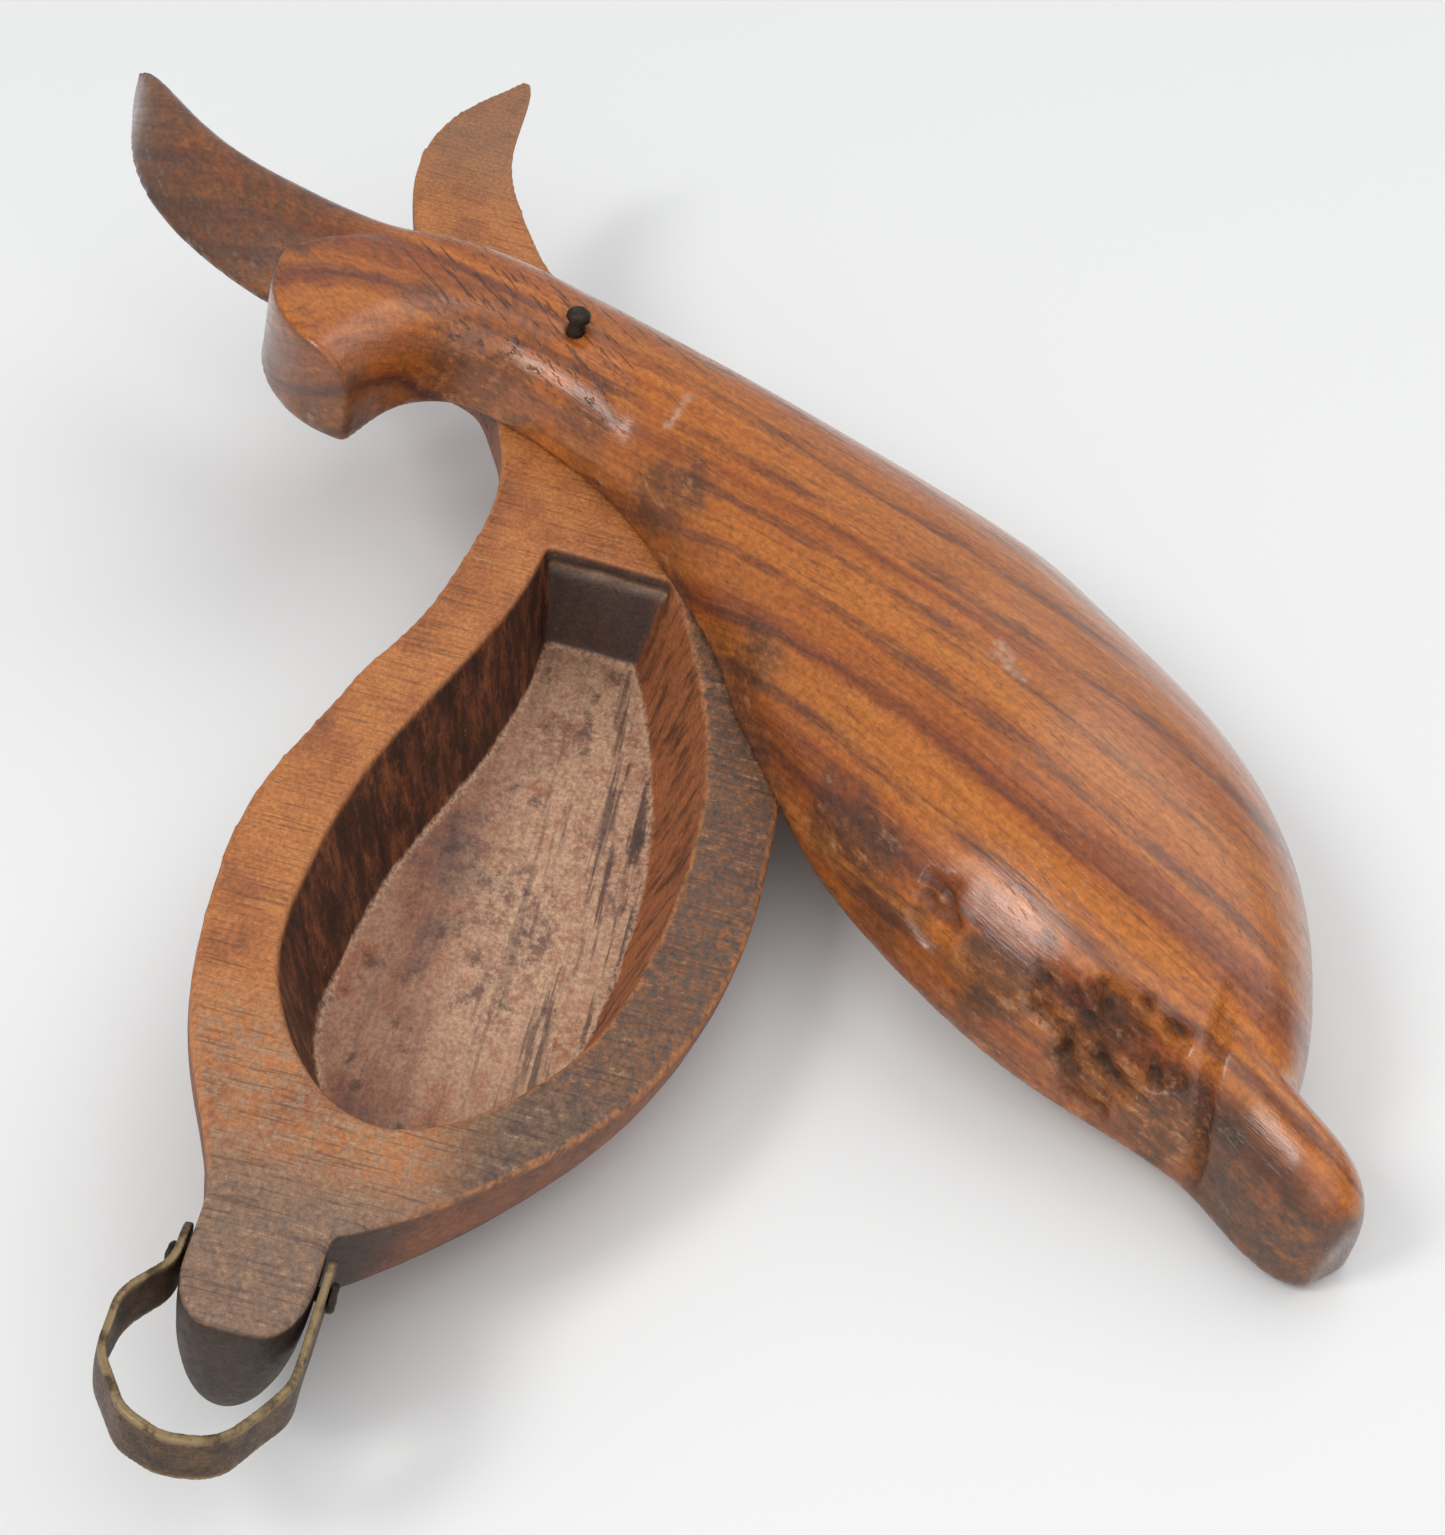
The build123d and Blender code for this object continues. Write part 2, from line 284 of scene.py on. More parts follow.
def carveLid():
    look = lidLook
    lid = evenSkin("lid", "carvedLid", lidPlace, look)
    points = readPoints(lid)
    x, y, z = points.T
    fromNail = np.hypot(x, y)
    bore = fade(*look["boreFade"], fromNail)
    neck = fade(*look["neckRise"], z) * fade(*look["neckLeft"], x) * (1.0 - fade(*look["neckRight"], x))
    neck *= fade(*look["neckFront"], y) * (1.0 - fade(*look["neckBack"], y))
    neck *= fade(*look["neckBore"], fromNail)
    roundWhere(lid, neck, look["neckRounds"])
    points = readPoints(lid)
    normals = readNormals(lid)
    x, y, z = points.T
    above = z - z.min()
    keep = fade(*look["rimFade"], above) * bore * fade(*look["tableFade"], heights(points, lidPlace))
    uneven = swell(points, look["lump"]) + swell(points, look["ripple"])
    chipped = nearSpots(points, look["chips"], look["chipCore"])
    crumbled = look["crumbMiddle"] + swell(points, look["crumbCoarse"]) + swell(points, look["crumbFine"])
    crumbled = np.clip(crumbled, *look["crumbLimits"])
    # The cut that runs round the nose's root on the left
    root = y + look["creaseFoot"] - look["creaseCurve"] * z * z + swell(points, look["creaseWander"])
    crease = np.exp(-(root / look["creaseWidth"]) ** 2)
    crease = crease * (1.0 - fade(*look["creaseEnd"], x)) * fade(*look["creaseRise"], above)
    depth = chipped * crumbled * look["chipDepth"] + crease * look["creaseDepth"]
    points += normals * (uneven * keep - depth)[:, None]
    writePoints(lid, points)
    # Dirt in spots, and painted shade low along the near side by the rim
    bulge, bulgeAt = look["nearBulge"]
    nearSide = 1.0 - fade(*look["nearSide"], x + bulge * np.abs(y - bulgeAt))
    patchy = look["patchMiddle"] + swell(points, look["patchCoarse"]) + swell(points, look["patchFine"])
    lowNearShade = (1.0 - fade(*look["lowSide"], above)) * nearSide * patchy
    paint(lid, "grimeAndShade", np.maximum(nearSpots(points, look["grimeAndShade"]), lowNearShade))
    paint(lid, "chipped", np.maximum(chipped, crease))
    # Painted shade in the chips' deeper hollows
    paint(lid, "cavityShade", chipped * fade(*look["cavityShadeFrom"], crumbled))
    scratched = nearLines(points, look["scratches"], look["scratchWidth"], look["scratchCore"])
    paint(lid, "scratch", scratched * (look["scratchMiddle"] + swell(points, look["scratchGaps"])))
    # Darker patina on the nose's sides and end; painted shade on the horn, on the lobe's end and down the far
    # side
    noseTop = fade(*look["noseTopRise"], z) * fade(*look["noseTopLeft"], x)
    nose = (1.0 - fade(*look["noseFrom"], y)) * (1.0 - noseTop)
    horn = fade(*look["hornFrom"], y) * look["hornShare"]
    browShade = (1.0 - fade(*look["browLeft"], x)) * (1.0 - fade(*look["browFacing"], normals[:, 2]))
    farSideShade = fade(*look["farFacing"], normals[:, 0]) * (1.0 - fade(*look["farFront"], y))
    darkening = np.maximum(browShade * look["browShare"], farSideShade * look["farShare"])
    paint(lid, "patinaAndShade", np.maximum(np.maximum(nose, horn), darkening))
    openGrain = fade(*look["grainFront"], y) * (1.0 - fade(*look["grainBack"], y))
    paint(lid, "neck", openGrain * fade(*look["grainLeft"], x) * fade(*look["grainRise"], z))
    return lid


lidPiece = carveLid()
print("lid carved", len(lidPiece.data.vertices))


# Bowl: values as for the lid
bowlLook = dict(
    voxel=0.62,
    soften=5,
    rimFade=(0.0, 2.5),
    tableFade=(0.0, 2.0),
    lump=((14, 22, 14), 5.3, 0.2),
    ripple=((2.4, 16, 2.4), 1.9, 0.05),
    endAt=-28.4,
    endReach=1.6,
    endFacing=-0.7,
    hollowMiddle=(4.0, -80.0),
    hollowFacing=0.12,
    hollowDeep=-5.0,
    hollowBack=-20.0,
    wallTop=(0.1, 0.7),
    floorFacing=(0.70, 0.95),
    floorDeep=(6.0, 8.5),
    floorEdgeLow=(0.60, 0.80),
    floorEdgeHigh=(0.95, 0.99),
    gouge=((4.5, 5.5, 40), 9.5, 0.42),
    scrape=((5, 22, 5), 3.7, 0.25),
    ledgeDrop=2.6,
    ledgeWidth=0.6,
    ledgeDepth=0.8,
    ledgeMiddle=0.7,
    ledgeGaps=((3, 3, 3), 8.8, 0.5),
    edgeTop=(-1.6, -0.5),
    edgeLow=(0.15, 0.4),
    edgeHigh=(0.90, 0.98),
    nick=((2.2, 3.0, 2.2), 6.1, 1.0),
    nickDepth=0.14,
)


def carveBowl():
    look = bowlLook
    bowl = evenSkin("bowl", "carvedBowl", bowlPlace, look)
    points = readPoints(bowl)
    normals = readNormals(bowl)
    x, y, z = points.T
    facing = normals[:, 2]
    atEnd = np.abs(y - look["endAt"]) < look["endReach"]
    squareEnd = (normals[:, 1] < look["endFacing"]) & atEnd & (x > 0)
    # The hollow's faces look up and towards its middle
    middleX, middleY = look["hollowMiddle"]
    inwards = normals[:, 0] * (middleX - x) + normals[:, 1] * (middleY - y)
    hollow = ((facing > look["hollowFacing"]) | squareEnd) & (y < look["hollowBack"])
    hollow = hollow & ((inwards > 0.0) | (z < look["hollowDeep"]))
    inside = hollow * fade(*look["wallTop"], -z)
    floor = inside * fade(*look["floorFacing"], facing) * fade(*look["floorDeep"], -z)
    wall = inside * (1.0 - floor)
    keep = fade(*look["rimFade"], -z) * fade(*look["tableFade"], heights(points, bowlPlace))
    uneven = swell(points, look["lump"]) * (1.0 - inside) + swell(points, look["ripple"])
    uneven += swell(points, look["gouge"]) * wall + swell(points, look["scrape"]) * floor
    # A chisel line along the square end of the hollow
    ledge = np.exp(-((z + look["ledgeDrop"]) / look["ledgeWidth"]) ** 2) * squareEnd
    # Small nicks along the rim's worn edges
    edge = fade(*look["edgeLow"], facing) * (1.0 - fade(*look["edgeHigh"], facing))
    edge = edge * fade(*look["edgeTop"], z)
    nick = np.clip(swell(points, look["nick"]), 0.0, 1.0) * edge
    depth = ledge * look["ledgeDepth"] + nick * look["nickDepth"]
    points += normals * (uneven * keep - depth)[:, None]
    writePoints(bowl, points)
    paint(bowl, "wall", wall)
    paint(bowl, "floor", floor)
    floorEdge = fade(*look["floorEdgeLow"], facing) * (1.0 - fade(*look["floorEdgeHigh"], facing))
    paint(bowl, "floorEdge", inside * fade(*look["floorDeep"], -z) * floorEdge)
    paint(bowl, "edge", edge)
    paint(bowl, "squareEnd", squareEnd * inside)
    paint(bowl, "ledge", ledge * (look["ledgeMiddle"] + swell(points, look["ledgeGaps"])))
    return bowl


bowlPiece = carveBowl()
print("bowl carved", len(bowlPiece.data.vertices))


class Nodes:
    # A material's nodes, with one short call for each kind
    def __init__(self, name):
        self.material = bpy.data.materials.new(name)
        self.material.use_nodes = True
        self.tree = self.material.node_tree
        self.shader = self.tree.nodes["Principled BSDF"]

    def join(self, source, target):
        self.tree.links.new(source, target)

    def give(self, socket, value):
        if hasattr(value, "is_linked"):
            self.join(value, socket)
        else:
            socket.default_value = value

    def ownFrame(self, place):
        # Object coordinates turned into the piece's own frame, in mm
        coordinates = self.tree.nodes.new("ShaderNodeTexCoord")
        mapping = self.tree.nodes.new("ShaderNodeMapping")
        mapping.vector_type = "TEXTURE"
        mapping.inputs["Location"].default_value = place.to_translation()
        mapping.inputs["Rotation"].default_value = place.to_euler("XYZ")
        mapping.inputs["Scale"].default_value = (mm, mm, mm)
        self.join(coordinates.outputs["Object"], mapping.inputs["Vector"])
        return mapping.outputs["Vector"]

    def math(self, kind, first, second=0.0, third=0.0):
        node = self.tree.nodes.new("ShaderNodeMath")
        node.operation = kind
        for socket, value in zip(node.inputs, (first, second, third)):
            self.give(socket, value)
        return node.outputs[0]

    def times(self, first, second):
        return self.math("MULTIPLY", first, second)

    def split(self, vector):
        node = self.tree.nodes.new("ShaderNodeSeparateXYZ")
        self.join(vector, node.inputs[0])
        return node.outputs[0], node.outputs[1], node.outputs[2]

    def gather(self, x, y, z):
        node = self.tree.nodes.new("ShaderNodeCombineXYZ")
        for socket, value in zip(node.inputs, (x, y, z)):
            self.give(socket, value)
        return node.outputs[0]

    def stretch(self, vector, scale, shift):
        node = self.tree.nodes.new("ShaderNodeMapping")
        node.inputs["Scale"].default_value = scale
        node.inputs["Location"].default_value = shift
        self.join(vector, node.inputs["Vector"])
        return node.outputs["Vector"]

    def noise(self, vector, detail=3.0, roughness=0.55):
        node = self.tree.nodes.new("ShaderNodeTexNoise")
        self.join(vector, node.inputs["Vector"])
        node.inputs["Scale"].default_value = 1.0
        node.inputs["Detail"].default_value = detail
        node.inputs["Roughness"].default_value = roughness
        return node.outputs["Fac"]

    def pattern(self, vector, scale, shift=(0.0, 0.0, 0.0), **settings):
        return self.noise(self.stretch(vector, scale, shift), **settings)

    def ramp(self, value, stops):
        node = self.tree.nodes.new("ShaderNodeValToRGB")
        elements = node.color_ramp.elements
        while len(elements) < len(stops):
            elements.new(0.5)
        for element, (place, colour) in zip(elements, stops):
            element.position = place
            element.color = (*colour, 1.0)
        self.join(value, node.inputs[0])
        return node.outputs["Color"]

    def span(self, value, low, high, newLow=0.0, newHigh=1.0):
        node = self.tree.nodes.new("ShaderNodeMapRange")
        node.interpolation_type = "SMOOTHSTEP"
        self.join(value, node.inputs["Value"])
        for name, number in (("From Min", low), ("From Max", high), ("To Min", newLow), ("To Max", newHigh)):
            node.inputs[name].default_value = number
        return node.outputs["Result"]

    def mix(self, share, first, second, kind="MIX"):
        node = self.tree.nodes.new("ShaderNodeMix")
        node.data_type = "RGBA"
        node.blend_type = kind
        self.give(node.inputs["Factor"], share)
        for name, value in (("A", first), ("B", second)):
            socket = [entry for entry in node.inputs if entry.name == name and entry.type == "RGBA"][0]
            if isinstance(value, tuple):
                socket.default_value = (*value, 1.0)
            else:
                self.join(value, socket)
        return [entry for entry in node.outputs if entry.type == "RGBA"][0]

    def painted(self, name):
        node = self.tree.nodes.new("ShaderNodeAttribute")
        node.attribute_name = name
        return node.outputs["Fac"]

    def bump(self, height, distance, strength, under=None):
        node = self.tree.nodes.new("ShaderNodeBump")
        node.inputs["Strength"].default_value = strength
        node.inputs["Distance"].default_value = distance * mm
        self.join(height, node.inputs["Height"])
        if under is not None:
            self.join(under, node.inputs["Normal"])
        return node.outputs["Normal"]


# Patterns are noise by scale per mm; a name ending in At is a range of noise or mm, and the shares at its ends
# where they aren't 0 and 1; a name ending in Relief is a depth in mm and a strength
lidWoodLook = dict(
    pith=(-30.0, -15.0),
    tilt=0.10,
    arch=0.0012,
    archFrom=-110.0,
    wander=dict(scale=(0.03, 0.012, 0.03), detail=1.0),
    wanderReach=4.0,
    fine=dict(scale=(0.22, 0.04, 0.22), detail=3.0),
    fineReach=2.2,
    figureScale=(0.20, 0.006),
    figureSeed=3.0,
    figureNoise=dict(detail=4.0, roughness=0.6),
    figure=[
        (0.30, (0.190, 0.050, 0.020)),
        (0.41, (0.310, 0.080, 0.019)),
        (0.50, (0.430, 0.122, 0.022)),
        (0.60, (0.500, 0.160, 0.028)),
        (0.72, (0.390, 0.102, 0.020)),
    ],
    streak=(0.105, 0.032, 0.024),
    streakPlace=35.4,
    streakStep=6.0,
    streakShare=0.75,
    bandAt=(0.25, 1.0),
    brokenScale=(0.40, 0.045),
    brokenSeed=8.5,
    brokenNoise=dict(detail=4.0, roughness=0.65),
    brokenAt=(0.38, 0.64),
    fibreScale=(1.6, 0.05, 0.2),
    fibreNoise=dict(detail=5.0, roughness=0.72),
    fibreDark=(0.130, 0.040, 0.018),
    fibreDarkAt=(0.50, 0.70, 0.0, 0.6),
    pale=(0.580, 0.250, 0.080),
    paleAt=(0.46, 0.30, 0.0, 0.3),
    pores=dict(scale=(2.4, 0.12, 2.4), detail=3.0, roughness=0.7),
    pore=(0.070, 0.026, 0.015),
    poreAt=(0.58, 0.72, 0.0, 0.5),
    grain=dict(scale=(1.3, 0.10, 1.3), shift=(5.0, 2.0, 1.0), detail=3.0, roughness=0.6),
    crackAt=(0.56, 0.64),
    crackShare=0.75,
    speckle=dict(scale=(0.7, 0.28, 0.7), detail=5.0, roughness=0.72),
    # Dark nose patina, also used as painted shade
    patinaAndShade=(0.088, 0.048, 0.032),
    patinaAndShadeAt=(0.66, 0.36, 0.55, 1.0),
    # Dark dirt, also used as painted shade
    grimeAndShade=(0.040, 0.027, 0.020),
    grimeAndShadeAt=(0.26, 0.64, 0.3, 1.0),
    grimeAndShadeShare=0.85,
    flecks=dict(scale=(1.6, 0.9, 1.6), shift=(3.0, 3.0, 3.0), detail=4.0, roughness=0.7),
    dust=(0.400, 0.260, 0.150),
    dustAt=(0.46, 0.30, 0.0, 0.55),
    cavityShadeShare=0.85,
    scratch=(0.560, 0.430, 0.340),
    mottleAt=(0.28, 0.72, 0.74, 1.24),
    specular=0.22,
    coatAt=(0.0, 0.6, 0.7, 0.1),
    coatRoughness=0.17,
    roughAt=(0.3, 0.7, 0.24, 0.40),
    roughDirtAndShade=0.22,
    roughChip=0.2,
    fibreRelief=(0.10, 0.6),
    poreRelief=(0.08, 0.5),
    crackRelief=(0.18, 0.8),
    chipRelief=(0.6, 0.7),
)


def lidWood():
    look = lidWoodLook
    wood = Nodes("polishedLidWood")
    own = wood.ownFrame(lidPlace)
    x, y, z = wood.split(own)
    # Growth layers about a pith to the lower left, leaning along the lid and arching over at the neck
    across = wood.math("SUBTRACT", x, look["pith"][0])
    above = wood.math("SUBTRACT", z, look["pith"][1])
    square = wood.math("MULTIPLY_ADD", across, across, wood.times(above, above))
    layers = wood.math("MULTIPLY_ADD", y, look["tilt"], wood.math("SQRT", square))
    layers = wood.math("MULTIPLY_ADD", wood.pattern(own, **look["wander"]), look["wanderReach"], layers)
    neckwards = wood.math("MAXIMUM", wood.math("SUBTRACT", y, look["archFrom"]), 0.0)
    layers = wood.math("MULTIPLY_ADD", wood.times(neckwards, neckwards), look["arch"], layers)
    layers = wood.math("MULTIPLY_ADD", wood.pattern(own, **look["fine"]), look["fineReach"], layers)
    layerScale, lengthScale = look["figureScale"]
    spread = wood.gather(wood.times(layers, layerScale), wood.times(y, lengthScale), look["figureSeed"])
    colour = wood.ramp(wood.noise(spread, **look["figureNoise"]), look["figure"])
    # Dark lines at a steady spacing of the layers, broken and uneven in strength
    turn = wood.times(wood.math("SUBTRACT", layers, look["streakPlace"]), math.tau / look["streakStep"])
    band = wood.span(wood.math("COSINE", turn), *look["bandAt"])
    layerScale, lengthScale = look["brokenScale"]
    spread = wood.gather(wood.times(layers, layerScale), wood.times(y, lengthScale), look["brokenSeed"])
    broken = wood.noise(spread, **look["brokenNoise"])
    streaks = wood.times(band, wood.span(broken, *look["brokenAt"]))
    colour = wood.mix(wood.times(streaks, look["streakShare"]), colour, look["streak"])
    # Fine lines that follow the layers
    layerScale, lengthScale, acrossScale = look["fibreScale"]
    sideways = wood.times(x, acrossScale)
    lines = wood.gather(wood.times(layers, layerScale), wood.times(y, lengthScale), sideways)
    fibres = wood.noise(lines, **look["fibreNoise"])
    colour = wood.mix(wood.span(fibres, *look["fibreDarkAt"]), colour, look["fibreDark"])
    colour = wood.mix(wood.span(fibres, *look["paleAt"]), colour, look["pale"])
    poreShare = wood.span(wood.pattern(own, **look["pores"]), *look["poreAt"])
    colour = wood.mix(poreShare, colour, look["pore"])
    # Open grain on the neck
    cracks = wood.times(wood.painted("neck"), wood.span(wood.pattern(own, **look["grain"]), *look["crackAt"]))
    colour = wood.mix(wood.times(cracks, look["crackShare"]), colour, look["pore"])
    # Handling dirt and nose patina, with painted shade on the horn, the lobe's end, the far side, low on the
    # near side and in the chips' hollows; thickest where it was painted on
    chipped = wood.painted("chipped")
    grimeAndShade = wood.painted("grimeAndShade")
    speckle = wood.pattern(own, **look["speckle"])
    darkening = wood.times(wood.painted("patinaAndShade"), wood.span(speckle, *look["patinaAndShadeAt"]))
    colour = wood.mix(darkening, colour, look["patinaAndShade"])
    dirtAndShade = wood.times(grimeAndShade, wood.span(speckle, *look["grimeAndShadeAt"]))
    colour = wood.mix(wood.times(dirtAndShade, look["grimeAndShadeShare"]), colour, look["grimeAndShade"])
    dustShare = wood.times(wood.math("MAXIMUM", chipped, grimeAndShade), wood.span(speckle, *look["dustAt"]))
    colour = wood.mix(dustShare, colour, look["dust"])
    # Painted shade in the chips' deeper hollows, in the dirt colour
    colour = wood.mix(wood.times(wood.painted("cavityShade"), look["cavityShadeShare"]), colour, look["grimeAndShade"])
    colour = wood.mix(wood.painted("scratch"), colour, look["scratch"])
    flecks = wood.pattern(own, **look["flecks"])
    mottle = wood.span(flecks, *look["mottleAt"])
    colour = wood.mix(1.0, colour, wood.gather(mottle, mottle, mottle), "MULTIPLY")
    wood.join(colour, wood.shader.inputs["Base Color"])
    wood.shader.inputs["Specular IOR Level"].default_value = look["specular"]
    wood.join(wood.span(chipped, *look["coatAt"]), wood.shader.inputs["Coat Weight"])
    wood.shader.inputs["Coat Roughness"].default_value = look["coatRoughness"]
    rough = wood.math("MULTIPLY_ADD", dirtAndShade, look["roughDirtAndShade"], wood.span(fibres, *look["roughAt"]))
    rough = wood.math("MULTIPLY_ADD", chipped, look["roughChip"], rough)
    wood.join(rough, wood.shader.inputs["Roughness"])
    relief = wood.bump(fibres, *look["fibreRelief"])
    relief = wood.bump(wood.times(poreShare, -1.0), *look["poreRelief"], relief)
    relief = wood.bump(wood.times(cracks, -1.0), *look["crackRelief"], relief)
    relief = wood.bump(wood.times(flecks, chipped), *look["chipRelief"], relief)
    wood.join(relief, wood.shader.inputs["Normal"])
    wood.join(relief, wood.shader.inputs["Coat Normal"])
    return wood.material


lidPiece.data.materials.append(lidWood())

bowlWoodLook = dict(
    fibres=dict(scale=(1.4, 0.10, 1.4), detail=5.0, roughness=0.72),
    blotch=dict(scale=(0.09, 0.06, 0.09), detail=5.0, roughness=0.66),
    speckle=dict(scale=(0.8, 0.6, 0.8), detail=5.0, roughness=0.78),
    flecks=dict(scale=(2.0, 1.5, 2.0), shift=(3.0, 3.0, 3.0), detail=4.0, roughness=0.75),
    fileMarks=dict(scale=(0.12, 2.0, 0.5), detail=4.0, roughness=0.72),
    topAt=(-0.9, -0.25),
    rim=[
        (0.30, (0.210, 0.076, 0.030)),
        (0.42, (0.390, 0.125, 0.036)),
        (0.55, (0.520, 0.190, 0.050)),
        (0.72, (0.430, 0.128, 0.034)),
    ],
    frontRim=(0.370, 0.220, 0.130),
    frontAt=(-106.0, -118.0),
    frontSpeckleAt=(0.40, 0.60, 0.05, 0.85),
    rightRim=(0.070, 0.056, 0.047),
    rightShiftAt=(-96.0, -124.0),
    rightShift=7.0,
    rightAt=(15.0, 26.0),
    rightSpeckleAt=(0.68, 0.34, 0.45, 0.95),
    noseTop=(0.190, 0.130, 0.095),
    noseTopAt=(-126.0, -136.0),
    noseSpeckleAt=(0.66, 0.40, 0.35, 0.95),
    fibreDark=(0.060, 0.026, 0.016),
    fileDarkAt=(0.50, 0.66, 0.0, 0.55),
    scratch=(0.520, 0.350, 0.215),
    scratchAt=(0.45, 0.32),
    scratchSpeckleAt=(0.48, 0.62),
    scratchShare=0.8,
    # Painted shade darkening the horn
    horn=(0.200, 0.125, 0.082),
    hornAt=(36.0, 62.0, 0.0, 0.55),
    hull=[
        (0.30, (0.070, 0.026, 0.015)),
        (0.50, (0.190, 0.060, 0.022)),
        (0.70, (0.300, 0.100, 0.034)),
    ],
    hullFibreAt=(0.48, 0.72, 0.0, 0.7),
    # Painted shadow on the nose end
    noseEndShadow=(0.044, 0.032, 0.025),
    noseEndShadowAt=(-130.0, -136.0, 0.0, 0.92),
    worn=(0.460, 0.175, 0.058),
    wornSpeckleAt=(0.36, 0.58, 0.1, 0.85),
    wornAt=(-136.0, -130.0),
    strokes=dict(scale=(0.40, 0.40, 0.10), detail=5.0, roughness=0.72),
    wall=[
        (0.34, (0.022, 0.009, 0.006)),
        (0.48, (0.060, 0.020, 0.010)),
        (0.62, (0.190, 0.060, 0.022)),
        (0.74, (0.300, 0.120, 0.050)),
    ],
    rightWall=(0.400, 0.130, 0.046),
    rightWallAt=(16.0, 22.0),
    rightStrokesAt=(0.36, 0.56, 0.25, 0.9),
    endWall=(0.075, 0.050, 0.042),
    endShare=0.85,
    ledgeShare=0.6,
    wallDustAt=(0.40, 0.24, 0.0, 0.4),
    floor=[
        (0.34, (0.180, 0.088, 0.062)),
        (0.45, (0.340, 0.138, 0.080)),
        (0.56, (0.450, 0.235, 0.140)),
        (0.68, (0.380, 0.130, 0.062)),
    ],
    dust=(0.600, 0.375, 0.235),
    dustAt=(0.0, 13.0),
    dustSpeckleAt=(0.38, 0.58, 0.1, 0.9),
    dustFrontAt=(-112.0, -92.0, 0.35, 1.0),
    blot=(0.075, 0.042, 0.036),
    grooves=dict(scale=(0.65, 0.03, 0.65), detail=4.0, roughness=0.6),
    grooveAt=(0.53, 0.62),
    grooveSideAt=(8.0, 24.0, 0.2, 0.85),
    stains=dict(scale=(0.22, 0.15, 0.22), shift=(7.0, 1.0, 4.0), detail=5.0, roughness=0.7),
    stainAt=(0.54, 0.66, 0.0, 0.7),
    floorEdgeAt=(0.36, 0.56, 0.1, 0.75),
    mottleAt=(0.28, 0.72, 0.70, 1.30),
    roughAt=(0.3, 0.7, 0.48, 0.72),
    fibreRelief=(0.14, 0.6),
    speckleRelief=(0.25, 0.5),
    fileRelief=(0.12, 0.6),
)


